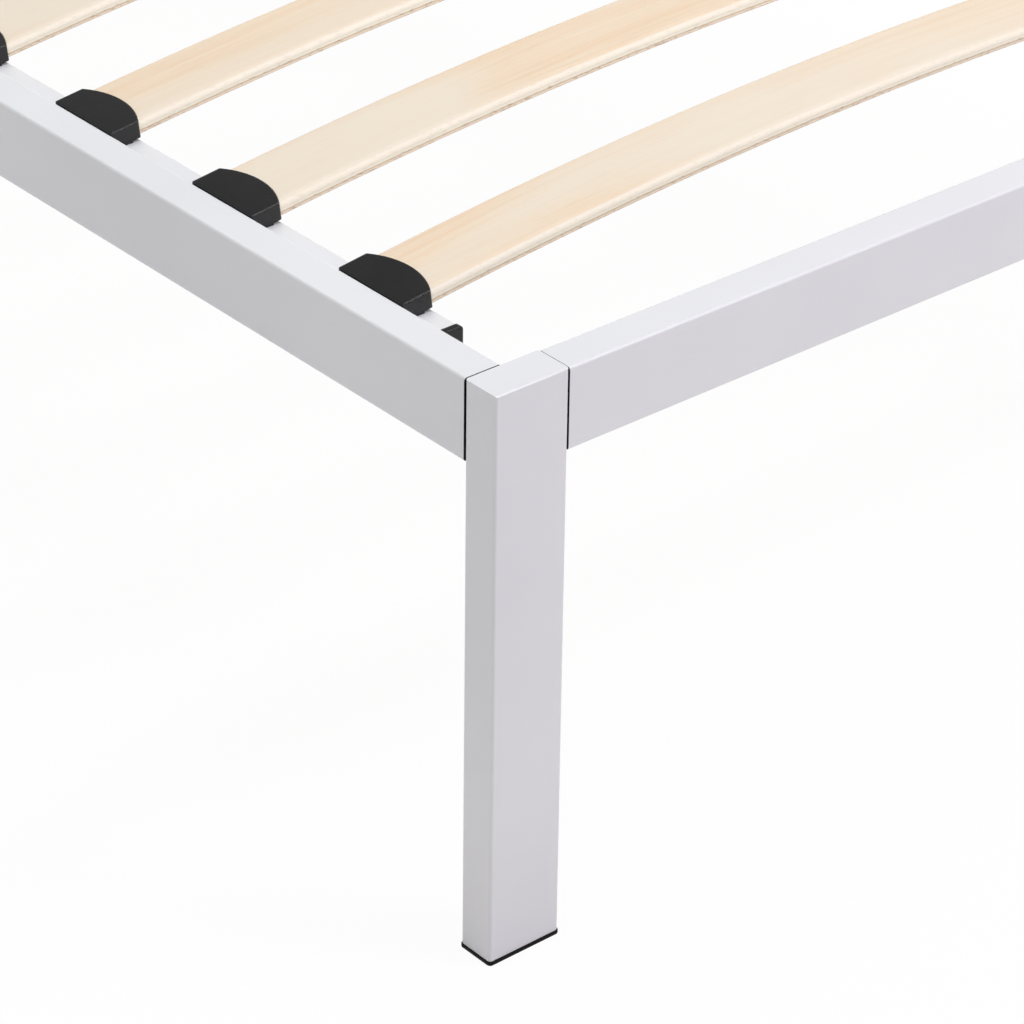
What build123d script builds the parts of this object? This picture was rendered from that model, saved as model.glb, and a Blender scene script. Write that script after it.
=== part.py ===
from build123d import *
import os
from math import asin, cos, degrees, radians, sin

# Single bed frame of powder-coated steel tube with a sprung wooden slat base.
# Four legs stand in the corners and the rails butt against them. A smaller tube welded inside
# each side rail carries the plastic holders that the arched slats plug into.
# Origin: on the floor, under the middle of the bed. +X right, +Y towards the head, +Z up.

os.makedirs("parts", exist_ok=True)

# ---------------------------------------------------------------- driving sizes, in millimetres
bed_width = 900.0
bed_length = 2024.0
rail_top = 369.0

tube_long_side = 50.8       # of the tube that legs and rails are cut from
tube_short_side = 25.4
tube_wall = 1.2
tube_corner = 2.0

leg_top_plate = 1.5         # welded over the leg's upper end and ground flush
butt_gap = 0.6              # open seam between a rail's sawn end and the leg

support_width = 22.2
support_height = 40.0
support_drop = 10.0         # from the side rail's top
support_clearance = 59.3    # from the leg's back face to the plug in the support tube's end

plug_flange = 4.0
plug_lip = 0.7
plug_rail_gap = 0.2         # between the plug's flange and the side rail
plug_depth = 16.0

foot_flange = 3.0
foot_lip = 0.7
foot_depth = 18.0

insert_wall = 2.0           # wall of the moulded sleeve that goes into a tube
insert_play = 0.8           # all round, between that sleeve and the tube
insert_fin_play = 0.1       # all round, between a sealing fin and the tube
insert_fin = 1.2
insert_fin_count = 3

slat_count = 14
first_slat = 137.1          # from the bed's end to the middle of the first slat
slat_width = 53.0
slat_thickness = 9.0
slat_top_radius = 4.5       # of the long edges on the sleeping side
slat_bottom_radius = 1.2    # of the long edges underneath
slat_rise = 25.8            # of the slat's middle over its seats
slat_seat = 6.2             # from the support tube's top up to the slat's middle layer

holder_top_wall = 1.3
holder_bottom_wall = 1.0
holder_side_wall = 1.5
holder_end_wall = 2.0
holder_play = 0.1           # above and below the slat
holder_side_play = 0.15
holder_end_play = 1.2
holder_gap = 0.3            # between the holder and the side rail
holder_mouth = 9.3          # from the support tube's middle to the mouth's corners
holder_bulge = 8.3          # of the rounded lips beyond those corners
holder_edge_radius = 0.7
holder_corner = 1.0         # where the lips meet the holder's sides
holder_pad_reach = 4.5      # from the support tube's middle towards the bed's middle
peg_radius = 4.0
peg_length = 9.0
peg_root = 0.5              # of a peg's length that is moulded into the pad
peg_spacing = 32.0
peg_tip = 0.8
peg_hole_play = 0.15

bracket_thickness = 2.5
bracket_height = 38.0
bracket_drop = 7.0          # from the rails' top to the bracket's upper edge
bracket_side_arm = 54.0     # along the side rail
bracket_end_arm = 62.0      # along the leg and the end rail
bracket_corner = 6.0
bracket_bend = 2.5
bolt_pitch = 20.0           # between the two bolts of a pair
side_bolt_reach = 30.0      # from the leg's back face to the side rail's bolts
leg_bolt_reach = 13.5       # from the side rail's inner face to the leg's bolts
end_bolt_reach = 16.0       # from the leg to the end rail's bolts

bolt_radius = 3.0
bolt_length = 12.0
bolt_head_radius = 5.25
bolt_head_height = 3.3
bolt_head_round = 1.2
hex_key = 4.0
hex_key_depth = 2.0
bolt_hole_play = 0.3
nut_across_flats = 10.0
nut_height = 5.0
nut_bore_play = 0.05

# ---------------------------------------------------------------- sizes that follow from them
leg_width = tube_long_side
leg_depth = tube_short_side
rail_width = tube_short_side
rail_height = tube_long_side

half_width = bed_width / 2
half_length = bed_length / 2
rail_middle = rail_top - rail_height / 2
leg_x = half_width - leg_width / 2
leg_y = half_length - leg_depth / 2
leg_back = half_length - leg_depth
rail_inner_x = half_width - rail_width
rail_inner_y = half_length - rail_width
side_rail_x = half_width - rail_width / 2
end_rail_y = half_length - rail_width / 2

support_x = rail_inner_x - support_width / 2
support_top = rail_top - support_drop
support_middle = support_top - support_height / 2
support_end = leg_back - support_clearance - plug_flange

slat_pitch = (bed_length - 2 * first_slat) / (slat_count - 1)
slat_seat_span = support_x
slat_radius = (slat_seat_span**2 + slat_rise**2) / (2 * slat_rise)
slat_tilt = degrees(asin(slat_seat_span / slat_radius))
slat_reach = rail_inner_x - holder_gap - holder_end_wall - holder_end_play
slat_crown = support_top + slat_seat + slat_rise

bracket_middle = rail_top - bracket_drop - bracket_height / 2
bolt_rows = [bracket_middle - bolt_pitch / 2, bracket_middle + bolt_pitch / 2]
bolt_hole_radius = bolt_radius + bolt_hole_play
side_bolt_y = leg_back - side_bolt_reach
leg_bolt_x = rail_inner_x - leg_bolt_reach
end_bolt_x = half_width - leg_width - end_bolt_reach

sides = [("left", -1), ("right", 1)]
ends = [("foot", -1), ("head", 1)]
corners = [(end + "_" + side, sx, sy) for end, sy in ends for side, sx in sides]


def save(builder, name):
    """Labels a finished piece and writes it."""
    builder.part.label = name
    export_step(builder.part, "parts/" + name + ".step")


def tube_section(width, height):
    """Section of a rectangular tube, drawn into the sketch that calls it."""
    RectangleRounded(width, height, tube_corner)
    inner_corner = max(tube_corner - tube_wall, 0.3)
    RectangleRounded(width - 2 * tube_wall, height - 2 * tube_wall, inner_corner, mode=Mode.SUBTRACT)


def drill_wall(face, centres, radius):
    """Round holes through the one tube wall that lies under the face plane."""
    with BuildSketch(face) as holes:
        with Locations(*centres):
            Circle(radius)
    extrude(holes.sketch, amount=2 * tube_wall, both=True, mode=Mode.SUBTRACT)


# ---------------------------------------------------------------- legs
# Tube closed by a welded plate that is ground flush. Its edge over the outer wide face is
# rounded, and the other three stay sharp.
leg_height = rail_top - foot_flange

for corner, sx, sy in corners:
    leg_face = Plane.XZ.offset(-sy * leg_back)
    with BuildPart() as leg:
        with BuildSketch(Plane.XY.offset(foot_flange)):
            with Locations((sx * leg_x, sy * leg_y)):
                RectangleRounded(leg_width, leg_depth, tube_corner)
        extrude(amount=leg_height)
        with BuildSketch(Plane.YZ.offset(sx * leg_x)) as side_outline:
            with Locations((sy * leg_y, foot_flange + leg_height / 2)):
                Rectangle(leg_depth, leg_height)
            # The outline's own x runs along the bed and its own y runs up.
            top_corners = side_outline.vertices().group_by(Axis.Y)[-1].sort_by(Axis.X)
            outer_corner = top_corners[-1] if sy > 0 else top_corners[0]
            fillet(outer_corner, radius=tube_corner)
        extrude(amount=leg_width, both=True, mode=Mode.INTERSECT)
        with BuildSketch(Plane.XY.offset(foot_flange)):
            with Locations((sx * leg_x, sy * leg_y)):
                RectangleRounded(
                    leg_width - 2 * tube_wall,
                    leg_depth - 2 * tube_wall,
                    max(tube_corner - tube_wall, 0.3),
                )
        extrude(amount=leg_height - leg_top_plate, mode=Mode.SUBTRACT)
        drill_wall(leg_face, [(sx * leg_bolt_x, z) for z in bolt_rows], bolt_hole_radius)
    save(leg, "leg_" + corner)


# ---------------------------------------------------------------- moulded tube inserts
def insert_sleeve(face, centre, tube_width, tube_height, depth):
    """Hollow sleeve with thin sealing fins, standing on the face plane inside a tube's bore."""
    bore_width = tube_width - 2 * tube_wall
    bore_height = tube_height - 2 * tube_wall
    sleeve_width = bore_width - 2 * insert_play
    sleeve_height = bore_height - 2 * insert_play
    with BuildSketch(face) as sleeve:
        with Locations(centre):
            Rectangle(sleeve_width, sleeve_height)
            Rectangle(
                sleeve_width - 2 * insert_wall, sleeve_height - 2 * insert_wall, mode=Mode.SUBTRACT
            )
    extrude(sleeve.sketch, amount=depth)
    fin_pitch = depth / insert_fin_count
    for fin in range(insert_fin_count):
        with BuildSketch(face.offset((fin + 0.5) * fin_pitch)) as sealing_fin:
            with Locations(centre):
                RectangleRounded(
                    bore_width - 2 * insert_fin_play,
                    bore_height - 2 * insert_fin_play,
                    max(tube_corner - tube_wall, 0.3),
                )
                Rectangle(
                    sleeve_width - 2 * insert_wall, sleeve_height - 2 * insert_wall, mode=Mode.SUBTRACT
                )
        extrude(sealing_fin.sketch, amount=insert_fin)


# ---------------------------------------------------------------- foot caps
for corner, sx, sy in corners:
    with BuildPart() as foot_cap:
        with BuildSketch():
            with Locations((sx * leg_x, sy * leg_y)):
                RectangleRounded(
                    leg_width + 2 * foot_lip, leg_depth + 2 * foot_lip, tube_corner + foot_lip
                )
        extrude(amount=foot_flange)
        fillet(foot_cap.faces().sort_by(Axis.Z)[0].edges(), radius=foot_flange / 3)
        insert_sleeve(
            Plane.XY.offset(foot_flange),
            (sx * leg_x, sy * leg_y),
            leg_width,
            leg_depth,
            foot_depth,
        )
    save(foot_cap, "foot_cap_" + corner)

# ---------------------------------------------------------------- side rails and end rails
side_rail_length = 2 * (leg_back - butt_gap)
end_rail_length = 2 * (half_width - leg_width - butt_gap)

for side, sx in sides:
    with BuildPart() as side_rail:
        with BuildSketch(Plane.XZ):
            with Locations((sx * side_rail_x, rail_middle)):
                tube_section(rail_width, rail_height)
        extrude(amount=side_rail_length / 2, both=True)
        side_rail_face = Plane.YZ.offset(sx * rail_inner_x)
        side_holes = [(sy * side_bolt_y, z) for sy in (-1, 1) for z in bolt_rows]
        drill_wall(side_rail_face, side_holes, bolt_hole_radius)
    save(side_rail, "side_rail_" + side)

for end, sy in ends:
    with BuildPart() as end_rail:
        with BuildSketch(Plane.YZ):
            with Locations((sy * end_rail_y, rail_middle)):
                tube_section(rail_width, rail_height)
        extrude(amount=end_rail_length / 2, both=True)
        end_rail_face = Plane.XZ.offset(-sy * rail_inner_y)
        end_holes = [(sx * end_bolt_x, z) for sx in (-1, 1) for z in bolt_rows]
        drill_wall(end_rail_face, end_holes, bolt_hole_radius)
    save(end_rail, end + "_rail")

# ---------------------------------------------------------------- slat support tubes
slat_places = [-half_length + first_slat + slat * slat_pitch for slat in range(slat_count)]
peg_places = [place + sign * peg_spacing / 2 for place in slat_places for sign in (-1, 1)]

for side, sx in sides:
    with BuildPart() as support_tube:
        with BuildSketch(Plane.XZ):
            with Locations((sx * support_x, support_middle)):
                tube_section(support_width, support_height)
        extrude(amount=support_end, both=True)
        peg_holes = [(sx * support_x, place) for place in peg_places]
        drill_wall(Plane.XY.offset(support_top), peg_holes, peg_radius + peg_hole_play)
    save(support_tube, "slat_support_" + side)

# ---------------------------------------------------------------- plugs in the support tubes' ends
with BuildPart() as support_plugs:
    for corner, sx, sy in corners:
        tube_mouth = Plane(
            origin=(sx * support_x, sy * support_end, support_middle),
            x_dir=(1, 0, 0),
            z_dir=(0, sy, 0),
        )
        with BuildSketch(tube_mouth):
            with Locations((-sx * (plug_lip + plug_rail_gap) / 2, 0)):
                RectangleRounded(
                    support_width + plug_lip - plug_rail_gap,
                    support_height + 2 * plug_lip,
                    tube_corner + plug_lip,
                )
        extrude(amount=plug_flange)
        into_tube = Plane(origin=tube_mouth.origin, x_dir=(1, 0, 0), z_dir=(0, -sy, 0))
        insert_sleeve(into_tube, (0, 0), support_width, support_height, plug_depth)
save(support_plugs, "support_plugs")


# ---------------------------------------------------------------- slats
# Bent plywood of even thickness: two arcs about one centre, square ends, rounded long edges.
slat_centre = (0, slat_crown - slat_radius)
slat_half_angle = degrees(asin(slat_reach / slat_radius))
slat_upper_radius = slat_radius + slat_thickness / 2
slat_lower_radius = slat_radius - slat_thickness / 2
arc_start = 90 - slat_half_angle
arc_sweep = 2 * slat_half_angle

for slat, place in enumerate(slat_places, start=1):
    with BuildPart() as bent_slat:
        with BuildSketch(Plane.XZ.offset(-place)):
            with BuildLine():
                upper = CenterArc(slat_centre, slat_upper_radius, arc_start, arc_sweep)
                lower = CenterArc(slat_centre, slat_lower_radius, arc_start, arc_sweep)
                Line(upper @ 0, lower @ 0)
                Line(upper @ 1, lower @ 1)
            make_face()
        extrude(amount=slat_width / 2, both=True)
        lower_edges = bent_slat.edges().filter_by(GeomType.CIRCLE).group_by(SortBy.RADIUS)[0]
        fillet(lower_edges, radius=slat_bottom_radius)
        upper_edges = bent_slat.edges().filter_by(GeomType.CIRCLE).group_by(SortBy.RADIUS)[-1]
        fillet(upper_edges, radius=slat_top_radius)
    save(bent_slat, f"slat_{slat:02d}")

# ---------------------------------------------------------------- slat holders
# Drawn at the support tube: x = 0 on the tube's middle line and +x towards the bed's middle,
# z = 0 on the tube's top. The sleeve leans with the slat and a flat pad under it stands on the tube.
lean = radians(slat_tilt)
slat_seat_plane = Plane(
    origin=(0, 0, slat_seat), x_dir=(cos(lean), 0, sin(lean)), z_dir=(-sin(lean), 0, cos(lean))
)
holder_width = slat_width + 2 * (holder_side_play + holder_side_wall)
pocket_height = slat_thickness + 2 * holder_play
holder_height = holder_bottom_wall + pocket_height + holder_top_wall
holder_bottom = slat_seat_plane.offset(-pocket_height / 2 - holder_bottom_wall)
holder_back = support_width / 2 - holder_gap
pocket_back = holder_back - holder_end_wall
holder_span = holder_mouth + holder_bulge

with BuildPart() as holder:
    with BuildSketch(holder_bottom) as outline:
        with BuildLine():
            lips = ThreePointArc(
                (holder_mouth, -holder_width / 2), (holder_span, 0), (holder_mouth, holder_width / 2)
            )
            Polyline(
                lips @ 1,
                (-holder_span, holder_width / 2),
                (-holder_span, -holder_width / 2),
                lips @ 0,
            )
        make_face()
        mouth_corners = outline.vertices().group_by(Axis.X)[1]
        fillet(mouth_corners, radius=holder_corner)
    extrude(amount=holder_height)
    fillet(holder.faces().sort_by(Axis.Z)[-1].edges(), radius=holder_edge_radius)
    with BuildSketch(Plane.XZ):
        with Locations((-holder_back, 0)):
            Rectangle(
                holder_back + 2 * holder_span,
                slat_seat + holder_height + holder_span,
                align=(Align.MIN, Align.MIN),
            )
    extrude(amount=holder_width, both=True, mode=Mode.INTERSECT)
    with BuildSketch():
        with Locations((-holder_back, 0)):
            Rectangle(
                holder_back + holder_pad_reach, holder_width, align=(Align.MIN, Align.CENTER)
            )
    extrude(amount=slat_seat)
    with BuildSketch(slat_seat_plane.offset(-pocket_height / 2)):
        with Locations((-pocket_back, 0)):
            Rectangle(
                pocket_back + 2 * holder_span,
                slat_width + 2 * holder_side_play,
                align=(Align.MIN, Align.CENTER),
            )
    extrude(amount=pocket_height, mode=Mode.SUBTRACT)
    with BuildSketch(Plane.XY.offset(peg_root)):
        with Locations((0, -peg_spacing / 2), (0, peg_spacing / 2)):
            Circle(peg_radius)
    extrude(amount=-peg_root - peg_length)
    peg_tips = holder.faces().sort_by(Axis.Z)[:2].edges()
    chamfer(peg_tips, length=peg_tip)

for side, sx in sides:
    for slat, place in enumerate(slat_places, start=1):
        with BuildPart() as slat_holder:
            with Locations(Location((sx * support_x, place, support_top), (0, 0, 90 + 90 * sx))):
                add(holder.part)
        save(slat_holder, f"slat_holder_{side}_{slat:02d}")

# ---------------------------------------------------------------- corner brackets
# Pressed angles in the inner corners: one arm on the side rail, one across the leg and end rail.
sheet_middle = bracket_thickness / 2

with BuildPart() as corner_brackets:
    for corner, sx, sy in corners:
        side_arm_x = sx * (rail_inner_x - sheet_middle)
        end_arm_y = sy * (leg_back - sheet_middle)
        with BuildSketch(Plane.XY.offset(bracket_middle)):
            with BuildLine():
                FilletPolyline(
                    (side_arm_x, sy * (leg_back - bracket_side_arm)),
                    (side_arm_x, end_arm_y),
                    (sx * (rail_inner_x - bracket_end_arm), end_arm_y),
                    radius=bracket_bend + sheet_middle,
                )
            trace(line_width=bracket_thickness)
        extrude(amount=bracket_height / 2, both=True)
    across_the_sheet = corner_brackets.edges().filter_by(
        lambda edge: edge.length < 1.05 * bracket_thickness
    )
    fillet(across_the_sheet, radius=bracket_corner)
    for corner, sx, sy in corners:
        with BuildSketch(Plane.YZ.offset(sx * rail_inner_x)):
            with Locations(*[(sy * side_bolt_y, z) for z in bolt_rows]):
                Circle(bolt_hole_radius)
        extrude(amount=2 * bracket_thickness, both=True, mode=Mode.SUBTRACT)
        with BuildSketch(Plane.XZ.offset(-sy * leg_back)):
            with Locations(*[(sx * x, z) for x in (leg_bolt_x, end_bolt_x) for z in bolt_rows]):
                Circle(bolt_hole_radius)
        extrude(amount=2 * bracket_thickness, both=True, mode=Mode.SUBTRACT)
save(corner_brackets, "corner_brackets")

# ---------------------------------------------------------------- bracket bolts and weld nuts
# Each bolt stands on a plane that faces into the bed: its head bears on the bracket there, and
# its nut is welded behind the tube wall, one bracket and one wall thickness further back.
bolt_planes = []
for corner, sx, sy in corners:
    for z in bolt_rows:
        side_seat = (sx * (rail_inner_x - bracket_thickness), sy * side_bolt_y, z)
        bolt_planes.append(Plane(origin=side_seat, z_dir=(-sx, 0, 0)))
        for x in (leg_bolt_x, end_bolt_x):
            end_seat = (sx * x, sy * (leg_back - bracket_thickness), z)
            bolt_planes.append(Plane(origin=end_seat, z_dir=(0, -sy, 0)))
nut_planes = [plane.offset(-bracket_thickness - tube_wall) for plane in bolt_planes]

with BuildPart() as bolt:
    with BuildSketch():
        Circle(bolt_head_radius)
    extrude(amount=bolt_head_height)
    fillet(bolt.edges().sort_by(Axis.Z)[-1], radius=bolt_head_round)
    with BuildSketch():
        Circle(bolt_radius)
    extrude(amount=-bolt_length)
    chamfer(bolt.edges().sort_by(Axis.Z)[0], length=bolt_radius / 5)
    with BuildSketch(Plane.XY.offset(bolt_head_height)):
        RegularPolygon(hex_key / 2, 6, major_radius=False)
    extrude(amount=-hex_key_depth, mode=Mode.SUBTRACT)

with BuildPart() as bracket_bolts:
    with Locations(*bolt_planes):
        add(bolt.part)
save(bracket_bolts, "bracket_bolts")

with BuildPart() as nut:
    with BuildSketch():
        RegularPolygon(nut_across_flats / 2, 6, major_radius=False)
        Circle(bolt_radius + nut_bore_play, mode=Mode.SUBTRACT)
    extrude(amount=-nut_height)

with BuildPart() as weld_nuts:
    with Locations(*nut_planes):
        add(nut.part)
save(weld_nuts, "weld_nuts")
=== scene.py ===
from math import asin, cos, pi, radians, sin

import bmesh
import bpy
from mathutils import Matrix, Vector


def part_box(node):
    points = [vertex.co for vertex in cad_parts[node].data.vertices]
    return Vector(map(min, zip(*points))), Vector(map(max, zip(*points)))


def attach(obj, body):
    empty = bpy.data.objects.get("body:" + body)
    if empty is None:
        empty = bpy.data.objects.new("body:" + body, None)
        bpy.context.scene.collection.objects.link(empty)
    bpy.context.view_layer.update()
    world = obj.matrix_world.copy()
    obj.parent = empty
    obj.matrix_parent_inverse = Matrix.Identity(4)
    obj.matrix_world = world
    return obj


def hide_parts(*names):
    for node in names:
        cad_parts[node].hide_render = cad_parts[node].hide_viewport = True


# A single bed frame. Steel tube legs and rails are bolted together at inner corner brackets, and
# sprung plywood slats arch between plastic holders pegged into a tube inside each side rail.
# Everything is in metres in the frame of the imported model: +Y runs to the head of the bed.
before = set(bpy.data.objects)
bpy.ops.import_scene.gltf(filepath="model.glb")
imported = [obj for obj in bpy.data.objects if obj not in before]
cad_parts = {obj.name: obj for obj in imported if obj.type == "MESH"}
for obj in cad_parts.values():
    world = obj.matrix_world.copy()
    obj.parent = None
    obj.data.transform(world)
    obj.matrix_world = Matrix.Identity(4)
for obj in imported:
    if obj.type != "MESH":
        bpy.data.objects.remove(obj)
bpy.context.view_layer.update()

# ------------------------------------------------------------------------------------ camera
# A long lens looks down at the left corner of the foot end from a standing person's height,
# so the corner stands low and the slats run out of the frame.
camera = bpy.data.objects.new("camera", bpy.data.cameras.new("camera"))
camera.data.lens = 156.91
camera.data.sensor_width = 36.0
camera.location = (-1.76315, -2.56075, 1.51408)
camera.rotation_euler = (radians(59.1100), radians(-0.6684), radians(-40.1510))
bpy.context.scene.collection.objects.link(camera)
bpy.context.scene.camera = camera
bpy.context.scene.view_settings.view_transform = "Standard"


# ------------------------------------------------------------------------- floor and light
# A matt white studio floor. Straight to the eye, in gloss and through glass it is nearly the
# white of the room around it, and it keeps a faint part of the shadow that falls on it.
def linear(hex_colour):
    """An sRGB hex colour as the linear values that a node holds."""
    channels = [int(hex_colour[i : i + 2], 16) / 255 for i in (0, 2, 4)]
    return [c / 12.92 if c <= 0.04045 else ((c + 0.055) / 1.055) ** 2.4 for c in channels] + [1.0]


def add_node(tree, kind, inputs=(), stops=(), **settings):
    """Adds a node with its settings. Each input is a value, or an output that is linked to it.
    The stops are the places and hex colours along a colour ramp."""
    node = tree.nodes.new(kind)
    for name, value in settings.items():
        setattr(node, name, value)
    while stops and len(node.color_ramp.elements) < len(stops):
        node.color_ramp.elements.new(1.0)
    for number, (position, hex_colour) in enumerate(stops):
        node.color_ramp.elements[number].position = position
        node.color_ramp.elements[number].color = linear(hex_colour)
    for socket, value in dict(inputs).items():
        if isinstance(value, bpy.types.NodeSocket):
            tree.links.new(value, node.inputs[socket])
        else:
            node.inputs[socket].default_value = value
    return node


def new_material(name):
    """An empty material, its node tree and its output."""
    material = bpy.data.materials.new(name)
    material.use_nodes = True
    material.node_tree.nodes.clear()
    return material, material.node_tree, add_node(material.node_tree, "ShaderNodeOutputMaterial")


def seen_directly(tree):
    """1 on camera, glossy and transmission rays, and 0 on the diffuse rays that light things."""
    rays = add_node(tree, "ShaderNodeLightPath")
    sight = add_node(
        tree,
        "ShaderNodeMath",
        {0: rays.outputs["Is Camera Ray"], 1: rays.outputs["Is Glossy Ray"]},
        operation="MAXIMUM",
    )
    return add_node(
        tree,
        "ShaderNodeMath",
        {0: sight.outputs[0], 1: rays.outputs["Is Transmission Ray"]},
        operation="MAXIMUM",
    ).outputs[0]


white_paint, tree, output = new_material("matt_white_floor_paint")
floor_glow = 0.94
paint = add_node(tree, "ShaderNodeBsdfDiffuse", {"Color": linear("F4F4F5"), "Roughness": 1.0})
glow = add_node(tree, "ShaderNodeEmission", {"Color": linear("FFFFFF"), "Strength": 1.0})
share = add_node(
    tree, "ShaderNodeMath", {0: seen_directly(tree), 1: floor_glow}, operation="MULTIPLY"
)
mixed = add_node(
    tree, "ShaderNodeMixShader", {0: share.outputs[0], 1: paint.outputs[0], 2: glow.outputs[0]}
)
tree.links.new(mixed.outputs[0], output.inputs["Surface"])

floor_size = 24.0
floor_drop = 0.0003          # keeps the floor clear of the soles that stand on it
floor_mesh = bmesh.new()
bmesh.ops.create_grid(
    floor_mesh,
    x_segments=1,
    y_segments=1,
    size=floor_size / 2,
    matrix=Matrix.Translation((0, 0, -floor_drop)),
)
floor = bpy.data.objects.new("studio_floor", bpy.data.meshes.new("studio_floor"))
floor_mesh.to_mesh(floor.data)
floor_mesh.free()
floor.data.materials.append(white_paint)
bpy.context.scene.collection.objects.link(floor)

room = bpy.data.worlds.new("white_room")
room.use_nodes = True
room.node_tree.nodes.clear()
tree = room.node_tree
room_light = 0.39
ceiling_glow = 0.30
walls_end = radians(12)
ceiling_starts = radians(28)
# Glossy rays see white walls low down in the room, which turn into a greyer ceiling higher up.
look = add_node(tree, "ShaderNodeTexCoord").outputs["Generated"]
upwards = add_node(tree, "ShaderNodeSeparateXYZ", {"Vector": look}).outputs["Z"]
ceiling = add_node(
    tree,
    "ShaderNodeMapRange",
    {
        "Value": upwards,
        "From Min": sin(walls_end),
        "From Max": sin(ceiling_starts),
        "To Min": 1.0,
        "To Max": ceiling_glow,
    },
)
in_sight = seen_directly(tree)
rays = add_node(tree, "ShaderNodeLightPath")
seen_room = add_node(
    tree,
    "ShaderNodeMath",
    {0: ceiling.outputs[0], 1: rays.outputs["Is Camera Ray"]},
    operation="MAXIMUM",
)
seen_strength = add_node(
    tree,
    "ShaderNodeMapRange",
    {"Value": in_sight, "To Min": room_light, "To Max": seen_room.outputs[0]},
)
seen_colour = add_node(
    tree,
    "ShaderNodeMix",
    {0: in_sight, 6: linear("FFFAF5"), 7: linear("FFFFFF")},
    data_type="RGBA",
)
walls = add_node(
    tree,
    "ShaderNodeBackground",
    {"Color": seen_colour.outputs[2], "Strength": seen_strength.outputs[0]},
)
room_output = add_node(tree, "ShaderNodeOutputWorld")
tree.links.new(walls.outputs[0], room_output.inputs["Surface"])
bpy.context.scene.world = room

# The strip lamp stands high to the right of the foot end. It models the faces there, and the
# rounded upper edges catch it. The room's own light fills in from the left, a little warmer.
lit_point = Vector((0, 0, 0.3))
for name, place, width, depth, power, colour in (
    ("overhead_softbox", (-0.3, -0.3, 5.2), 4.2, 4.2, 157.0, "F6FFFB"),
    ("side_strip_softbox", (1.68, -3.16, 3.25), 1.5, 0.45, 74.0, "FBF7FF"),
):
    lamp = bpy.data.objects.new(name, bpy.data.lights.new(name, "AREA"))
    lamp.data.shape = "RECTANGLE"
    lamp.data.size = width
    lamp.data.size_y = depth
    lamp.data.energy = power
    lamp.data.color = linear(colour)[:3]
    lamp.location = place
    lamp.rotation_euler = (lit_point - lamp.location).to_track_quat("-Z", "Y").to_euler()
    bpy.context.scene.collection.objects.link(lamp)

# -------------------------------------------------------------------------- legs and rails
# Welded steel furniture tube, 50.8 x 25.4 mm, in a pale silver satin powder coat. The sprayed
# and baked coat leaves soft edges, and a faint orange peel that shows only in its reflections.
tube_wall = 0.0012
tube_corner = 0.0020
corner_steps = 6

powder_coat, tree, output = new_material("satin_silver_white_powder_coat")
place = add_node(tree, "ShaderNodeTexCoord").outputs["Object"]
# Drawn about twice as coarse as real orange peel, which is 1 to 2 mm from crest to crest.
peel = add_node(
    tree, "ShaderNodeTexNoise", {"Vector": place, "Scale": 1 / 0.0035, "Detail": 2.0}
)
build_up = add_node(
    tree, "ShaderNodeTexNoise", {"Vector": place, "Scale": 1 / 0.16, "Detail": 3.0}
)
shade = add_node(
    tree,
    "ShaderNodeValToRGB",
    {"Fac": build_up.outputs["Fac"]},
    stops=[(0.3, "DCDBE1"), (0.7, "E2E1E6")],
)
gloss = add_node(
    tree,
    "ShaderNodeMapRange",
    {"Value": build_up.outputs["Fac"], "To Min": 0.32, "To Max": 0.40},
)
relief = add_node(
    tree,
    "ShaderNodeBump",
    {"Height": peel.outputs["Fac"], "Strength": 0.10, "Distance": 0.0002},
)
coat = add_node(
    tree,
    "ShaderNodeBsdfPrincipled",
    {
        "Base Color": shade.outputs["Color"],
        "Roughness": gloss.outputs[0],
        "Normal": relief.outputs[0],
        "IOR": 1.5,
    },
)
tree.links.new(coat.outputs[0], output.inputs["Surface"])

# The spray doesn't reach into the tubes or onto their sawn ends, which keep the mill's scale: a
# dull, nearly black oxide skin, a little browner in patches. Its near black is also painted shade,
# so that the seams where the rails butt on the legs read as black gaps.
mill_scale_and_painted_seam_shade, tree, output = new_material("mill_scale_steel_and_painted_seam_shade")
place = add_node(tree, "ShaderNodeTexCoord").outputs["Object"]
scale_patches = add_node(
    tree, "ShaderNodeTexNoise", {"Vector": place, "Scale": 1 / 0.012, "Detail": 4.0}
)
shade = add_node(
    tree,
    "ShaderNodeValToRGB",
    {"Fac": scale_patches.outputs["Fac"]},
    stops=[(0.0, "1F1D1C"), (1.0, "3A3532")],
)
oxide_and_painted_seam_shade = add_node(
    tree,
    "ShaderNodeBsdfPrincipled",
    {"Base Color": shade.outputs["Color"], "Roughness": 0.7, "Metallic": 0.4},
)
tree.links.new(oxide_and_painted_seam_shade.outputs[0], output.inputs["Surface"])


def block(mesh, low, high):
    """A box between two corners, added to the mesh. Returns its new vertices."""
    verts = bmesh.ops.create_cube(mesh, size=1.0)["verts"]
    bmesh.ops.scale(mesh, vec=high - low, verts=verts)
    bmesh.ops.translate(mesh, vec=(low + high) / 2, verts=verts)
    return verts


def edges_along(verts, axis):
    """The edges among these vertices that run along an axis."""
    found = {edge for vert in verts for edge in vert.link_edges}
    return [e for e in found if (e.verts[1].co - e.verts[0].co).normalized()[axis] ** 2 > 0.99]


def round_edges(mesh, edges, radius, steps):
    """Rounds the edges."""
    bmesh.ops.bevel(
        mesh,
        geom=edges,
        offset=radius,
        segments=steps,
        profile=0.5,
        affect="EDGES",
        material=-1,
        clamp_overlap=True,
    )


def trimmed(mesh, point, outwards):
    """Saws off what lies beyond a plane and closes the cut."""
    cut = bmesh.ops.bisect_plane(
        mesh,
        geom=mesh.verts[:] + mesh.edges[:] + mesh.faces[:],
        plane_co=point,
        plane_no=outwards,
        clear_outer=True,
    )
    rim = [g for g in cut["geom_cut"] if isinstance(g, bmesh.types.BMEdge)]
    bmesh.ops.edgeloop_fill(mesh, edges=rim)


sharp_angle = radians(38)


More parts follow.
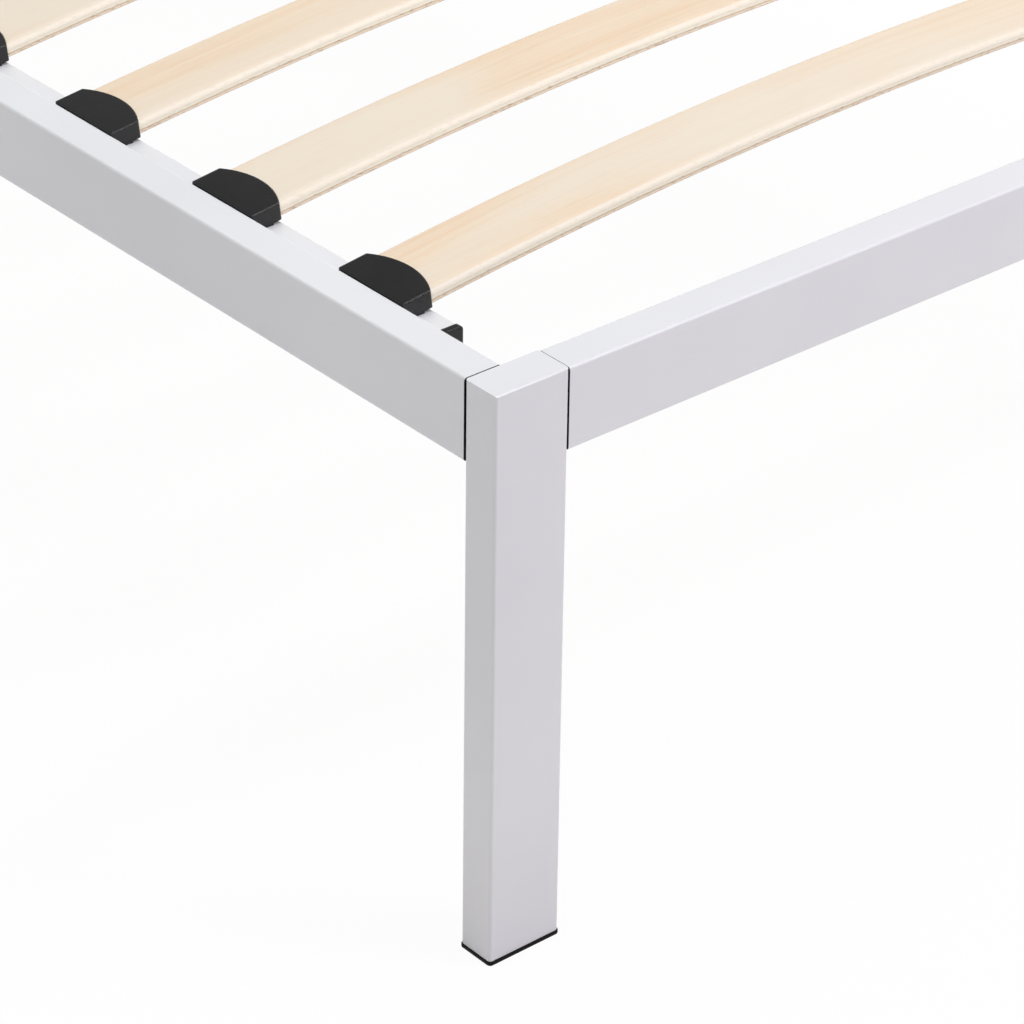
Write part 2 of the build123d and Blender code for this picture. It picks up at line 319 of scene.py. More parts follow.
def make_piece(name, mesh, material, slot, *nodes):
    """Turns the mesh into a smooth-shaded piece that stands for its CAD nodes."""
    piece = bpy.data.objects.new(name, bpy.data.meshes.new(name))
    mesh.to_mesh(piece.data)
    mesh.free()
    piece.data.shade_smooth()
    piece.data.set_sharp_from_angle(angle=sharp_angle)
    piece.data.materials.append(material)
    bpy.context.scene.collection.objects.link(piece)
    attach(piece, "root")
    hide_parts(*nodes)
    return piece


def even_shading(piece):
    """Keeps the flats flat beside their rounded edges."""
    piece.modifiers.new("even_shading", "WEIGHTED_NORMAL").keep_sharp = True


for corner in ("foot_left", "foot_right", "head_left", "head_right"):
    low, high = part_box("leg_" + corner)
    leg = bmesh.new()
    round_edges(leg, edges_along(block(leg, low, high), 2), tube_corner, corner_steps)
    # The top plate is ground to a soft edge over the outer wide face and is crisp elsewhere.
    outwards = 1 if low.y > 0 else -1
    outer_y = high.y if low.y > 0 else low.y
    arc_middle = Vector((0, outer_y - outwards * tube_corner, high.z - tube_corner))
    for step in range(corner_steps):
        lean = pi / 2 * (step + 0.5) / corner_steps
        facing = Vector((0, outwards * cos(lean), sin(lean)))
        trimmed(leg, arc_middle + tube_corner * facing, facing)
    bmesh.ops.recalc_face_normals(leg, faces=leg.faces)
    piece = make_piece("coated_leg_" + corner, leg, powder_coat, "powder_coat", "leg_" + corner)
    even_shading(piece)

# The bolts draw the end rails up close to the legs, and the side rails stand off a little more.
end_rail_draw = 0.00025
side_rail_draw = -0.00025
for node, along, drawn_up in (
    ("side_rail_left", 1, side_rail_draw),
    ("side_rail_right", 1, side_rail_draw),
    ("foot_rail", 0, end_rail_draw),
    ("head_rail", 0, end_rail_draw),
    ("slat_support_left", 1, 0.0),
    ("slat_support_right", 1, 0.0),
):
    low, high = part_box(node)
    low[along] -= drawn_up
    high[along] += drawn_up
    tube = bmesh.new()
    verts = block(tube, low, high)
    tube.normal_update()
    sawn_ends = [face for face in tube.faces if abs(face.normal[along]) > 0.9]
    bmesh.ops.delete(tube, geom=sawn_ends, context="FACES_ONLY")
    round_edges(tube, edges_along(verts, along), tube_corner, corner_steps)
    piece = make_piece("coated_" + node, tube, powder_coat, "powder_coat", node)
    walls = piece.modifiers.new("tube_wall", "SOLIDIFY")
    walls.thickness = tube_wall
    walls.offset = -1.0
    walls.use_even_offset = True
    # The inner walls and sawn ends take the near-black oxide, which is partly painted seam shade.
    piece.data.materials.append(mill_scale_and_painted_seam_shade)
    walls.material_offset = 1
    walls.material_offset_rim = 1
    even_shading(piece)

# ------------------------------------------------------------------- foot caps and tube plugs
# Moulded black inserts, polypropylene plugs and softer polyethylene feet. A finned sleeve grips
# inside the tube. The flange that shows has soft corners and a mould's fine satin grain.
black_moulding, tree, output = new_material("moulded_black_polypropylene")
place = add_node(tree, "ShaderNodeTexCoord").outputs["Object"]
# Spark-eroded mould grain, drawn at 0.9 mm so that it shows.
grain = add_node(
    tree, "ShaderNodeTexNoise", {"Vector": place, "Scale": 1 / 0.0009, "Detail": 1.0}
)
flow = add_node(
    tree, "ShaderNodeTexNoise", {"Vector": place, "Scale": 1 / 0.03, "Detail": 4.0}
)
shade = add_node(
    tree,
    "ShaderNodeValToRGB",
    {"Fac": flow.outputs["Fac"]},
    stops=[(0.35, "0C0A0C"), (0.75, "141114")],
)
gloss = add_node(
    tree, "ShaderNodeMapRange", {"Value": flow.outputs["Fac"], "To Min": 0.24, "To Max": 0.30}
)
# Creases come out of the mould a little rounder than drawn, and so they catch a light line.
soft_crease = add_node(tree, "ShaderNodeBevel", {"Radius": 0.0013})
relief = add_node(
    tree,
    "ShaderNodeBump",
    {
        "Height": grain.outputs["Fac"],
        "Strength": 0.18,
        "Distance": 0.0002,
        "Normal": soft_crease.outputs[0],
    },
)
plastic = add_node(
    tree,
    "ShaderNodeBsdfPrincipled",
    {
        "Base Color": shade.outputs["Color"],
        "Roughness": gloss.outputs[0],
        "Normal": relief.outputs[0],
        "IOR": 1.49,
        "Specular IOR Level": 0.45,
    },
)
tree.links.new(plastic.outputs[0], output.inputs["Surface"])

# The feet are a softer black polyethylene, duller and with fine scuffs from the floor.
foot_moulding, tree, output = new_material("soft_black_polyethylene")
place = add_node(tree, "ShaderNodeTexCoord").outputs["Object"]
scuffs = add_node(
    tree, "ShaderNodeTexNoise", {"Vector": place, "Scale": 1 / 0.004, "Detail": 4.0}
)
shade = add_node(
    tree,
    "ShaderNodeValToRGB",
    {"Fac": scuffs.outputs["Fac"]},
    stops=[(0.40, "09090A"), (0.80, "141314")],
)
soft_plastic = add_node(
    tree,
    "ShaderNodeBsdfPrincipled",
    {
        "Base Color": shade.outputs["Color"],
        "Roughness": 0.55,
        "IOR": 1.51,
        "Specular IOR Level": 0.10,
    },
)
tree.links.new(soft_plastic.outputs[0], output.inputs["Surface"])

foot_flange = 0.0030
foot_lip = 0.0007
foot_sole_edge = 0.0010
foot_brim_edge = 0.0005
insert_play = 0.0008
insert_fin = 0.0012
insert_fin_count = 3


def finned_sleeve(mesh, low, high, along, bore_play):
    """The part of an insert that goes into a tube: a core with thin fins that reach its wall."""
    inwards = Vector([0 if axis == along else bore_play for axis in range(3)])
    block(mesh, low + inwards, high - inwards)
    length = (high - low)[along]
    for fin in range(insert_fin_count):
        near, far = low.copy(), high.copy()
        near[along] = low[along] + length * (fin + 0.5) / insert_fin_count
        far[along] = near[along] + insert_fin
        block(mesh, near, far)


for corner in ("foot_left", "foot_right", "head_left", "head_right"):
    low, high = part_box("foot_cap_" + corner)
    cap = bmesh.new()
    verts = block(cap, low, Vector((high.x, high.y, low.z + foot_flange)))
    round_edges(cap, edges_along(verts, 2), tube_corner + foot_lip, corner_steps)
    cap.normal_update()
    sole = [face for face in cap.faces if face.normal.z < -0.9]
    brim = [face for face in cap.faces if face.normal.z > 0.9]
    round_edges(cap, list(sole[0].edges), foot_sole_edge, 3)
    round_edges(cap, list(brim[0].edges), foot_brim_edge, 2)
    inside = foot_lip + tube_wall
    finned_sleeve(
        cap,
        Vector((low.x + inside, low.y + inside, low.z + foot_flange)),
        Vector((high.x - inside, high.y - inside, high.z)),
        2,
        insert_play,
    )
    bmesh.ops.recalc_face_normals(cap, faces=cap.faces)
    piece = make_piece(
        "moulded_foot_cap_" + corner, cap, foot_moulding, "black_moulding", "foot_cap_" + corner
    )
    even_shading(piece)

plug_flange = 0.0040
plug_lip = 0.0007
plug_depth = 0.0160
plug_rail_gap = 0.0002
plug_edge = 0.0008

plugs = bmesh.new()
for node in ("slat_support_left", "slat_support_right"):
    tube_low, tube_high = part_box(node)
    on_the_left = tube_high.x < 0
    for outwards, tube_end in ((-1, tube_low.y), (1, tube_high.y)):
        low_lip = -plug_rail_gap if on_the_left else plug_lip
        high_lip = plug_lip if on_the_left else -plug_rail_gap
        face_y = tube_end + outwards * plug_flange
        low = Vector((tube_low.x - low_lip, min(tube_end, face_y), tube_low.z - plug_lip))
        high = Vector((tube_high.x + high_lip, max(tube_end, face_y), tube_high.z + plug_lip))
        verts = block(plugs, low, high)
        round_edges(plugs, edges_along(verts, 1), tube_corner + plug_lip, corner_steps)
        inner_y = tube_end - outwards * plug_depth
        finned_sleeve(
            plugs,
            Vector((tube_low.x + tube_wall, min(tube_end, inner_y), tube_low.z + tube_wall)),
            Vector((tube_high.x - tube_wall, max(tube_end, inner_y), tube_high.z - tube_wall)),
            1,
            insert_play,
        )
plugs.normal_update()
# Of all these faces only the flanges' have rounded corners, and so more than eight vertices.
flange_faces = [face for face in plugs.faces if abs(face.normal.y) > 0.9 and len(face.verts) > 8]
outer_rims = {
    edge
    for face in flange_faces
    if abs(face.calc_center_median().y) > tube_high.y + plug_flange / 2
    for edge in face.edges
}
round_edges(plugs, list(outer_rims), plug_edge, 3)
bmesh.ops.recalc_face_normals(plugs, faces=plugs.faces)
piece = make_piece("moulded_tube_plugs", plugs, black_moulding, "black_moulding", "support_plugs")
even_shading(piece)

# ------------------------------------------------------------------------------ sprung slats
# Birch plywood bent over a former and lacquered, with well rounded upper edges. The face veneers
# show a fine grain along the slat. The sanded edges are paler, with dark glue lines and voids.
# Their colour up the edge also holds painted light, brighter where the lamps light it less.
slat_thickness = 0.0090
slat_top_radius = 0.0045
slat_bottom_radius = 0.0012
bend_steps = 56
slat_low, slat_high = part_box("slat_01")
slat_width = slat_high.y - slat_low.y
slat_rise = slat_high.z - slat_low.z - slat_thickness
outer_radius = (slat_high.x**2 + slat_rise**2) / (2 * slat_rise)
bend_radius = outer_radius - slat_thickness / 2
bend_centre = Vector((0, 0, slat_high.z - outer_radius))
half_bend = asin(slat_high.x / outer_radius)

birch, tree, output = new_material("lacquered_birch_plywood")
coordinates = add_node(tree, "ShaderNodeTexCoord")
place = coordinates.outputs["Object"]
# Each pattern is noise stretched to its grain: its length along, across and through the slat.
# Streaks waver about 5 mm wide and 150 mm long. Pores and flecks are about 10 mm long and one
# or two wide. Sapwood is a paler stretch a hand wide. Plies waver, and torn fibres make dashes.
pattern = {}
for name, grain_size, detail, distortion in (
    ("streaks", (0.150, 0.0055, 0.05), 4.0, 0.9),
    ("pores", (0.012, 0.0009, 0.05), 2.0, 0.0),
    ("flecks", (0.010, 0.0016, 0.05), 1.0, 0.0),
    ("sapwood", (0.300, 0.090, 0.30), 2.0, 0.5),
    ("ply_waver", (0.040, 0.20, 0.20), 2.0, 0.0),
    ("torn_dashes", (0.0045, 0.02, 0.0011), 2.0, 0.0),
):
    stretched = add_node(
        tree, "ShaderNodeMapping", {"Vector": place, "Scale": [1 / size for size in grain_size]}
    )
    noise = add_node(
        tree,
        "ShaderNodeTexNoise",
        {
            "Vector": stretched.outputs[0],
            "Scale": 1.0,
            "Detail": detail,
            "Distortion": distortion,
        },
    )
    pattern[name] = noise.outputs["Fac"]

veneer = add_node(
    tree,
    "ShaderNodeValToRGB",
    {"Fac": pattern["streaks"]},
    stops=[(0.28, "E5CAAF"), (0.48, "E8D1B9"), (0.74, "EAD8C5")],
).outputs["Color"]
for name, starts, full, strength, hex_colour in (
    ("pores", 0.50, 0.75, 0.26, "DDC09E"),
    ("flecks", 0.72, 0.80, 0.35, "CFA478"),
    ("sapwood", 0.42, 0.64, 0.75, "E6DBCE"),
):
    share = add_node(
        tree,
        "ShaderNodeMapRange",
        {"Value": pattern[name], "From Min": starts, "From Max": full, "To Max": strength},
    )
    veneer = add_node(
        tree,
        "ShaderNodeMix",
        {0: share.outputs[0], 6: veneer, 7: linear(hex_colour)},
        data_type="RGBA",
    ).outputs[2]

# Height in the thickness, 0 underneath and 1 on top, wavers a little as real plies do.
centred = add_node(
    tree, "ShaderNodeMapping", {"Vector": place, "Location": (0, 0, -bend_centre.z)}
)
in_the_bend = add_node(
    tree, "ShaderNodeVectorMath", {0: centred.outputs[0], 1: (1.0, 0.0, 1.0)}, operation="MULTIPLY"
)
distance = add_node(tree, "ShaderNodeVectorMath", {0: in_the_bend.outputs[0]}, operation="LENGTH")
height = add_node(
    tree,
    "ShaderNodeMapRange",
    {
        "Value": distance.outputs["Value"],
        "From Min": outer_radius - slat_thickness,
        "From Max": outer_radius,
    },
)
ply_waver = 0.07
wavering = add_node(
    tree,
    "ShaderNodeMath",
    {0: pattern["ply_waver"], 1: ply_waver, 2: height.outputs[0]},
    operation="MULTIPLY_ADD",
)
ply_height = add_node(
    tree, "ShaderNodeMath", {0: wavering.outputs[0], 1: ply_waver / 2}, operation="SUBTRACT"
)
# Painted light in the ply colours: the upright part of the edge, which the lamps light less, is
# painted palest and the top rounding darker. The darker underside rounding is partly a glue line
# and partly painted shade. The thin dark bands higher up are glue lines.
plies_and_painted_light = add_node(
    tree,
    "ShaderNodeValToRGB",
    {"Fac": ply_height.outputs[0]},
    stops=[
        (0.00, "D9BFA2"),
        (0.07, "E3CBB0"),
        (0.11, "FBEAD4"),
        (0.22, "F8E4CC"),
        (0.27, "DCC5AA"),
        (0.31, "E0CBB2"),
        (0.36, "FFF8E8"),
        (0.50, "FFF7E7"),
        (0.54, "F4E6D3"),
        (0.59, "FFF6E6"),
        (0.75, "F9EEDF"),
        (0.92, "EBE0D2"),
    ],
)
# Torn end grain: dark dashes in the lower plies, and a fine dry speckle over the rest.
dashes = add_node(
    tree,
    "ShaderNodeMapRange",
    {"Value": pattern["torn_dashes"], "From Min": 0.54, "From Max": 0.70},
)
low_down = add_node(
    tree,
    "ShaderNodeMapRange",
    {
        "Value": height.outputs[0],
        "From Min": 0.34,
        "From Max": 0.40,
        "To Min": 0.55,
        "To Max": 0.12,
    },
)
torn = add_node(
    tree,
    "ShaderNodeMath",
    {0: dashes.outputs[0], 1: low_down.outputs[0]},
    operation="MULTIPLY",
)
edge = add_node(
    tree,
    "ShaderNodeMix",
    {0: torn.outputs[0], 6: plies_and_painted_light.outputs["Color"], 7: linear("9C7B5A")},
    data_type="RGBA",
)
# The veneer gives way to the sawn edge where the surface turns to face along the bed.
facing = add_node(tree, "ShaderNodeSeparateXYZ", {"Vector": coordinates.outputs["Normal"]})
sideways = add_node(tree, "ShaderNodeMath", {0: facing.outputs["Y"]}, operation="ABSOLUTE")
edge_share = add_node(
    tree,
    "ShaderNodeMapRange",
    {"Value": sideways.outputs[0], "From Min": 0.46, "From Max": 0.68},
)
surface = add_node(
    tree,
    "ShaderNodeMix",
    {0: edge_share.outputs[0], 6: veneer, 7: edge.outputs[2]},
    data_type="RGBA",
)
relief = add_node(
    tree,
    "ShaderNodeBump",
    {"Height": pattern["streaks"], "Strength": 0.12, "Distance": 0.0002},
)
wood = add_node(
    tree,
    "ShaderNodeBsdfPrincipled",
    {
        "Base Color": surface.outputs[2],
        "Roughness": 0.48,
        "Normal": relief.outputs[0],
        "IOR": 1.5,
    },
)
tree.links.new(wood.outputs[0], output.inputs["Surface"])

slat_nodes = [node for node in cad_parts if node.startswith("slat_") and node[5:].isdigit()]
for node in sorted(slat_nodes):
    low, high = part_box(node)
    slat = bmesh.new()
    bmesh.ops.create_grid(slat, x_segments=1, y_segments=1, size=0.5)
    bmesh.ops.scale(slat, vec=(slat_thickness, slat_width, 1), verts=slat.verts)
    # Seen along the slat, the section's -x side is the top one.
    top_corners = [v for v in slat.verts if v.co.x < 0]
    bottom_corners = [v for v in slat.verts if v.co.x > 0]
    for corners, radius in ((top_corners, slat_top_radius), (bottom_corners, slat_bottom_radius)):
        bmesh.ops.bevel(
            slat,
            geom=corners,
            offset=radius,
            segments=6,
            profile=0.5,
            affect="VERTICES",
            material=-1,
        )
    # The section is laid radially at one end of the bend, and is then swept round to the other.
    to_left_end = Matrix.Rotation(-half_bend, 4, "Y") @ Matrix.Translation((0, 0, bend_radius))
    upright = Matrix.Rotation(radians(90), 4, "Y")
    middle = Matrix.Translation((0, (low.y + high.y) / 2, bend_centre.z))
    bmesh.ops.transform(slat, matrix=middle @ to_left_end @ upright, verts=slat.verts)
    bmesh.ops.spin(
        slat,
        geom=slat.verts[:] + slat.edges[:] + slat.faces[:],
        cent=bend_centre,
        axis=(0, 1, 0),
        angle=2 * half_bend,
        steps=bend_steps,
        use_duplicate=False,
    )
    bmesh.ops.recalc_face_normals(slat, faces=slat.faces)
    piece = make_piece("birch_" + node, slat, birch, "bent_plywood", node)
    even_shading(piece)

# ------------------------------------------------------------------------------ slat holders
# One-piece moulded sleeves that lean with the slat. A rounded lip covers the slat's end, a pad
# stands on the support tube, and two pegs snap into holes in it.
holder_low, holder_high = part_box("slat_holder_right_01")
support_low, support_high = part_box("slat_support_right")
support_width = support_high.x - support_low.x
holder_width = holder_high.y - holder_low.y
holder_height = 0.0115
holder_wall = 0.00115
pocket_drop = 0.00015        # the wall under the slat is the thinner one
holder_rail_gap = 0.0003
holder_back = support_width / 2 - holder_rail_gap
holder_end_wall = 0.0020
holder_mouth = 0.0093
holder_bulge = 0.0083
holder_edge = 0.0007
slat_seat = 0.0062
pad_reach = 0.0045
peg_radius = 0.0040
peg_length = 0.0090
peg_spacing = 0.0320
peg_root = 0.0002            # of a peg that starts inside the pad
peg_tip = 0.0008
peg_sides = 20
lip_radius = ((holder_width / 2) ** 2 + holder_bulge**2) / (2 * holder_bulge)
lip_middle = holder_mouth + holder_bulge - lip_radius
lip_half_angle = asin(holder_width / 2 / lip_radius)
holder_lean = asin((support_low.x + support_high.x) / 2 / bend_radius)

holder = bmesh.new()
first = bmesh.ops.create_vert(holder, co=(holder_mouth, -holder_width / 2, 0))["vert"][0]
bmesh.ops.spin(
    holder,
    geom=[first],
    cent=(lip_middle, 0, 0),
    axis=(0, 0, 1),
    angle=2 * lip_half_angle,
    steps=28,
    use_duplicate=False,
)
holder.verts.ensure_lookup_table()
lip_ends = [v for v in holder.verts if len(v.link_edges) == 1]
back = bmesh.ops.extrude_vert_indiv(holder, verts=lip_ends)["verts"]
bmesh.ops.translate(holder, vec=(-2 * holder_back - holder_mouth, 0, 0), verts=back)
bmesh.ops.contextual_create(holder, geom=back)
bmesh.ops.edgeloop_fill(holder, edges=holder.edges[:])
raised = bmesh.ops.extrude_face_region(holder, geom=holder.faces[:])
raised_verts = [g for g in raised["geom"] if isinstance(g, bmesh.types.BMVert)]
bmesh.ops.translate(holder, vec=(0, 0, holder_height), verts=raised_verts)
bmesh.ops.recalc_face_normals(holder, faces=holder.faces)
holder.normal_update()
lips = [f for f in holder.faces if f.normal.x > 0.5]
bmesh.ops.inset_region(
    holder, faces=lips, thickness=holder_wall, use_boundary=True, use_even_offset=True
)
pocket = bmesh.ops.extrude_face_region(holder, geom=lips)
bmesh.ops.delete(holder, geom=lips, context="FACES")
pocket_verts = [g for g in pocket["geom"] if isinstance(g, bmesh.types.BMVert)]
pocket_back = holder_end_wall - holder_back
to_origin = Matrix.Translation((-pocket_back, 0, 0))
bmesh.ops.scale(holder, vec=(0, 1, 1), verts=pocket_verts, space=to_origin)
holder.normal_update()
crease_angle = radians(25)
slack = 1e-6
creases = [
    e
    for e in holder.edges
    if len(e.link_faces) == 2
    and e.calc_face_angle() > crease_angle
    and max(v.co.x for v in e.verts) > pocket_back + slack
]
# Only the outer creases are rounded: round the bottom, round the top, and up the two sides.
outer_rims = [
    e
    for e in creases
    if all(v.co.z < slack for v in e.verts)
    or all(v.co.z > holder_height - slack for v in e.verts)
    or (e.verts[1].co - e.verts[0].co).normalized().z ** 2 > 0.99
    and abs(e.verts[0].co.y) > holder_width / 2 - slack
]
round_edges(holder, outer_rims, holder_edge, 3)
holder_to_seat = (
    Matrix.Translation((0, 0, slat_seat))
    @ Matrix.Rotation(-holder_lean, 4, "Y")
    @ Matrix.Translation((0, 0, pocket_drop - holder_height / 2))
)
bmesh.ops.transform(holder, matrix=holder_to_seat, verts=holder.verts)
trimmed(holder, (0, 0, 0), (0, 0, -1))
trimmed(holder, (-holder_back, 0, 0), (-1, 0, 0))
# The pad rises into the sleeve's lower wall, so it is cut off along the lean.
pad = bmesh.new()
block(
    pad,
    Vector((-holder_back, -holder_width / 2 + holder_edge / 2, 0)),
    Vector((pad_reach, holder_width / 2 - holder_edge / 2, slat_seat)),
)
inside_the_wall = holder_to_seat @ Vector((0, 0, holder_wall / 2))
trimmed(pad, inside_the_wall, (-sin(holder_lean), 0, cos(holder_lean)))
for peg_y in (-peg_spacing / 2, peg_spacing / 2):
    ring = bmesh.ops.create_circle(
        pad,
        radius=peg_radius,
        segments=peg_sides,
        cap_ends=True,
        matrix=Matrix.Translation((0, peg_y, peg_root)),
    )["verts"]
    disc = [f for f in ring[0].link_faces if len(f.verts) == peg_sides]
    shank = bmesh.ops.extrude_face_region(pad, geom=disc)
    tip_verts = [g for g in shank["geom"] if isinstance(g, bmesh.types.BMVert)]
    tip_face = [g for g in shank["geom"] if isinstance(g, bmesh.types.BMFace)]
    bmesh.ops.translate(pad, vec=(0, 0, -peg_length - peg_root), verts=tip_verts)
    round_edges(pad, list(tip_face[0].edges), peg_tip, 1)
bmesh.ops.recalc_face_normals(pad, faces=pad.faces)
pad_data = bpy.data.meshes.new("holder_pad")
pad.to_mesh(pad_data)
pad.free()
holder.from_mesh(pad_data)
bpy.data.meshes.remove(pad_data)
bmesh.ops.recalc_face_normals(holder, faces=holder.faces)

holder_nodes = sorted(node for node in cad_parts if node.startswith("slat_holder_"))
for node in holder_nodes:
    low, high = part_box(node)
    on_the_left = high.x < 0
    tube_low, tube_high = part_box("slat_support_left" if on_the_left else "slat_support_right")
    fitted = holder.copy()
    turned = Matrix.Rotation(0 if on_the_left else pi, 4, "Z")
    standing = Vector(((tube_low.x + tube_high.x) / 2, (low.y + high.y) / 2, tube_high.z))
    bmesh.ops.transform(fitted, matrix=Matrix.Translation(standing) @ turned, verts=fitted.verts)
    piece = make_piece("moulded_" + node, fitted, black_moulding, "black_moulding", node)
    even_shading(piece)
holder.free()

# --------------------------------------------------------------------------- corner brackets
# Pressed 2.5 mm steel angles with rounded ends, coated like the tube. One arm lies on the side
# rail, the other spans the leg and the end rail, and bolts through both hold the corner together.
bracket_sheet = 0.0025
bracket_corner = 0.0060
bracket_bend = 0.0025
bracket_edge = 0.0003
side_arm = 0.0540
end_arm = 0.0620
bracket_low, bracket_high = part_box("corner_brackets")

bracket = bmesh.new()
lower = bmesh.ops.create_vert(bracket, co=(0, -side_arm, bracket_low.z))["vert"][0]
upper = bmesh.ops.create_vert(bracket, co=(0, -side_arm, bracket_high.z))["vert"][0]
strip_end = bmesh.ops.contextual_create(bracket, geom=[lower, upper])["edges"]
run = bmesh.ops.extrude_edge_only(bracket, edges=strip_end)["geom"]
run_verts = [g for g in run if isinstance(g, bmesh.types.BMVert)]
run_edge = [g for g in run if isinstance(g, bmesh.types.BMEdge)]
outer_bend = bracket_bend + bracket_sheet
bmesh.ops.translate(bracket, vec=(0, side_arm - outer_bend, 0), verts=run_verts)
turned = bmesh.ops.spin(
    bracket,
    geom=run_verts + run_edge,
    cent=(-outer_bend, -outer_bend, 0),
    axis=(0, 0, 1),
    angle=pi / 2,
    steps=8,
    use_duplicate=False,
)["geom_last"]
bend_end = [g for g in turned if isinstance(g, bmesh.types.BMEdge)]
run = bmesh.ops.extrude_edge_only(bracket, edges=bend_end)["geom"]
run_verts = [g for g in run if isinstance(g, bmesh.types.BMVert)]
bmesh.ops.translate(bracket, vec=(-(end_arm - outer_bend), 0, 0), verts=run_verts)
bmesh.ops.remove_doubles(bracket, verts=bracket.verts, dist=1e-6)
free_corners = [v for v in bracket.verts if len(v.link_edges) == 2]
bmesh.ops.bevel(
    bracket,
    geom=free_corners,
    offset=bracket_corner,
    segments=6,
    profile=0.5,
    affect="VERTICES",
    material=-1,
)
bmesh.ops.recalc_face_normals(bracket, faces=bracket.faces)
facing_rail = max(bracket.faces, key=lambda face: face.calc_area() * abs(face.normal.x))
if facing_rail.normal.x < 0:
    bmesh.ops.reverse_faces(bracket, faces=bracket.faces)

brackets = bmesh.new()
bracket_data = bpy.data.meshes.new("one_bracket")
for to_right in (-1, 1):
    for to_head in (-1, 1):
        one = bracket.copy()
        bmesh.ops.scale(one, vec=(to_right, to_head, 1), verts=one.verts)
        corner_at = (to_right * bracket_high.x, to_head * bracket_high.y, 0)
        bmesh.ops.translate(one, vec=corner_at, verts=one.verts)
        if to_right * to_head < 0:
            bmesh.ops.reverse_faces(one, faces=one.faces)
        one.to_mesh(bracket_data)
        one.free()
        brackets.from_mesh(bracket_data)
bpy.data.meshes.remove(bracket_data)
bracket.free()
piece = make_piece(
    "coated_corner_brackets", brackets, powder_coat, "powder_coat", "corner_brackets"
)
sheet = piece.modifiers.new("pressed_sheet", "SOLIDIFY")
sheet.thickness = bracket_sheet
sheet.offset = -1.0
pressed_edge = piece.modifiers.new("pressed_edge", "BEVEL")
pressed_edge.width = bracket_edge
pressed_edge.segments = 2
pressed_edge.limit_method = "ANGLE"
pressed_edge.angle_limit = radians(50)
even_shading(piece)

# ---------------------------------------------------------------- bracket bolts and weld nuts
# M6 button head screws with a hexagon socket, in bright zinc plate over steel, and the plain
# zinc plated nuts that are welded inside the tubes behind them.
zinc, tree, output = new_material("bright_zinc_plated_steel")
place = add_node(tree, "ShaderNodeTexCoord").outputs["Object"]
# Fine crystals break up the plate's shine a little. They are drawn at half a millimetre to show.
crystals = add_node(
    tree, "ShaderNodeTexNoise", {"Vector": place, "Scale": 1 / 0.0005, "Detail": 2.0}
)
shade = add_node(
    tree,
    "ShaderNodeValToRGB",
    {"Fac": crystals.outputs["Fac"]},
    stops=[(0.0, "B4B7BC"), (1.0, "D2D4D6")],
)
gloss = add_node(
    tree,
    "ShaderNodeMapRange",
    {"Value": crystals.outputs["Fac"], "To Min": 0.24, "To Max": 0.40},
)
plate = add_node(
    tree,
    "ShaderNodeBsdfPrincipled",
    {"Base Color": shade.outputs["Color"], "Metallic": 1.0, "Roughness": gloss.outputs[0]},
)
tree.links.new(plate.outputs[0], output.inputs["Surface"])

head_radius = 0.00525
head_height = 0.0033
head_round = 0.0012
head_round_steps = 4
shank_radius = 0.0030
shank_length = 0.0120
socket_across_flats = 0.0040
socket_depth = 0.0020
bolt_pitch = 0.0200
side_bolt_reach = 0.0300
leg_bolt_reach = 0.0135
end_bolt_reach = 0.0160

screw = bmesh.new()
hexagon = bmesh.ops.create_circle(
    screw, radius=socket_across_flats / 2 / cos(pi / 6), segments=6, cap_ends=False
)["verts"]
bmesh.ops.subdivide_edges(screw, edges=screw.edges[:], cuts=3)
socket_rim = screw.edges[:]
crown = bmesh.ops.create_circle(
    screw, radius=head_radius - head_round, segments=24, cap_ends=False
)["verts"]
crown_rim = list({edge for vert in crown for edge in vert.link_edges})
bmesh.ops.bridge_loops(screw, edges=socket_rim + crown_rim)
bmesh.ops.translate(screw, vec=(0, 0, head_height), verts=screw.verts)


def drawn_out(mesh, rim, lift, spread=1.0):
    """Extrudes a round rim along the screw, and widens or narrows its new edge."""
    new = bmesh.ops.extrude_edge_only(mesh, edges=rim)["geom"]
    new_verts = [g for g in new if isinstance(g, bmesh.types.BMVert)]
    bmesh.ops.translate(mesh, vec=(0, 0, lift), verts=new_verts)
    bmesh.ops.scale(mesh, vec=(spread, spread, 1), verts=new_verts)
    return [g for g in new if isinstance(g, bmesh.types.BMEdge)]


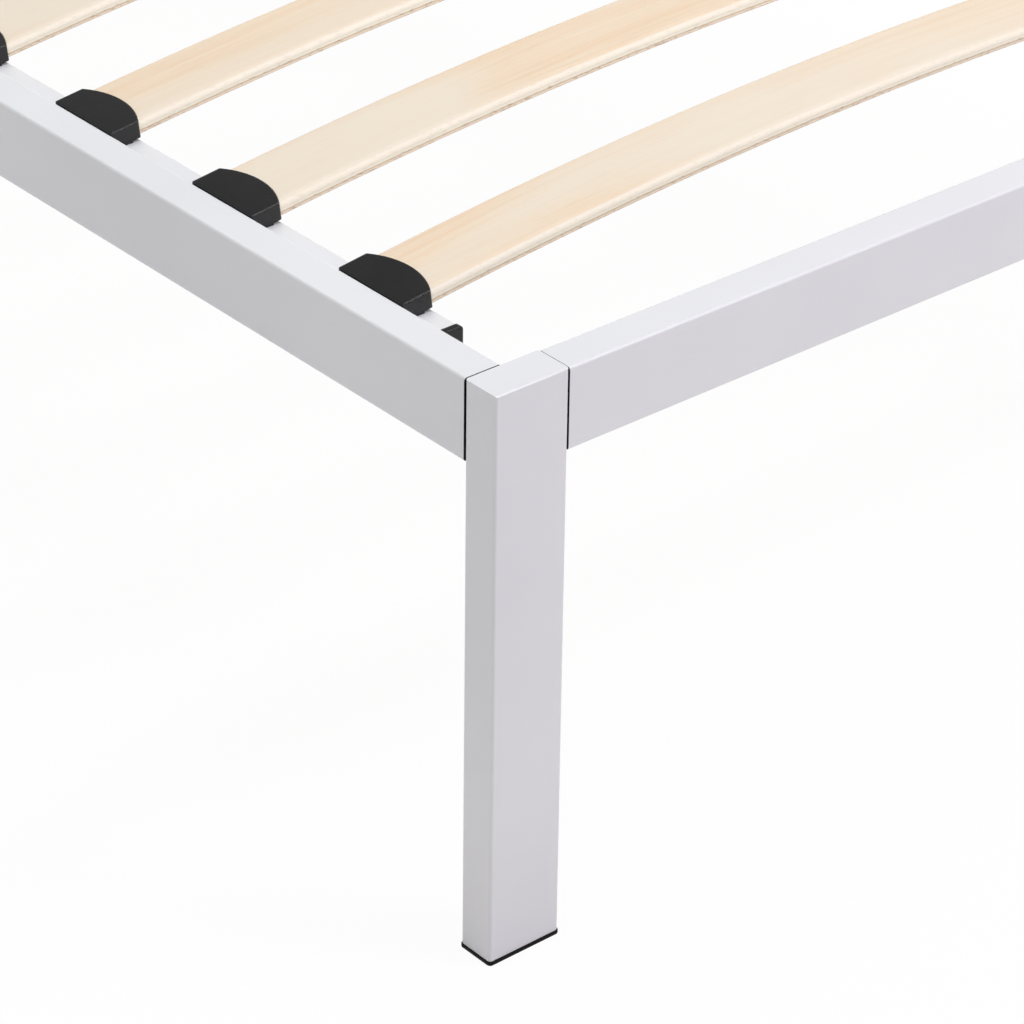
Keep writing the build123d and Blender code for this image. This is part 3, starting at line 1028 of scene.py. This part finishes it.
floor_rim = drawn_out(screw, socket_rim, -socket_depth)
bmesh.ops.edgeloop_fill(screw, edges=floor_rim)
rim = crown_rim
radius = head_radius - head_round
step_angle = pi / 2 / head_round_steps
for step in range(1, head_round_steps + 1):
    turn = step * step_angle
    wider = head_radius - head_round * (1 - sin(turn))
    fall = head_round * (cos(turn - step_angle) - cos(turn))
    rim = drawn_out(screw, rim, -fall, wider / radius)
    radius = wider
rim = drawn_out(screw, rim, -(head_height - head_round))
rim = drawn_out(screw, rim, 0.0, shank_radius / radius)
rim = drawn_out(screw, rim, -shank_length)
bmesh.ops.edgeloop_fill(screw, edges=rim)
bmesh.ops.recalc_face_normals(screw, faces=screw.faces)
screw_data = bpy.data.meshes.new("one_screw")
screw.to_mesh(screw_data)
screw.free()

screws = bmesh.new()
leg_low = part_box("leg_head_right")[0]
row_middle = (bracket_low.z + bracket_high.z) / 2
for to_right in (-1, 1):
    for to_head in (-1, 1):
        rail_face = to_right * (bracket_high.x - bracket_sheet)
        leg_face = to_head * (bracket_high.y - bracket_sheet)
        leg_bolt_x = to_right * (bracket_high.x - leg_bolt_reach)
        end_bolt_x = to_right * (leg_low.x - end_bolt_reach)
        side_bolt_y = to_head * (bracket_high.y - side_bolt_reach)
        for row in (-bolt_pitch / 2, bolt_pitch / 2):
            for seat, outwards in (
                ((rail_face, side_bolt_y, row_middle + row), (-to_right, 0, 0)),
                ((leg_bolt_x, leg_face, row_middle + row), (0, -to_head, 0)),
                ((end_bolt_x, leg_face, row_middle + row), (0, -to_head, 0)),
            ):
                aim = Vector(outwards).to_track_quat("Z", "Y").to_matrix().to_4x4()
                fitted = screw_data.copy()
                fitted.transform(Matrix.Translation(seat) @ aim)
                screws.from_mesh(fitted)
                bpy.data.meshes.remove(fitted)
bpy.data.meshes.remove(screw_data)
make_piece("zinc_bracket_bolts", screws, zinc, "zinc_fasteners", "bracket_bolts")

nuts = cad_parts["weld_nuts"]
nuts.data.materials.clear()
nuts.data.materials.append(zinc)
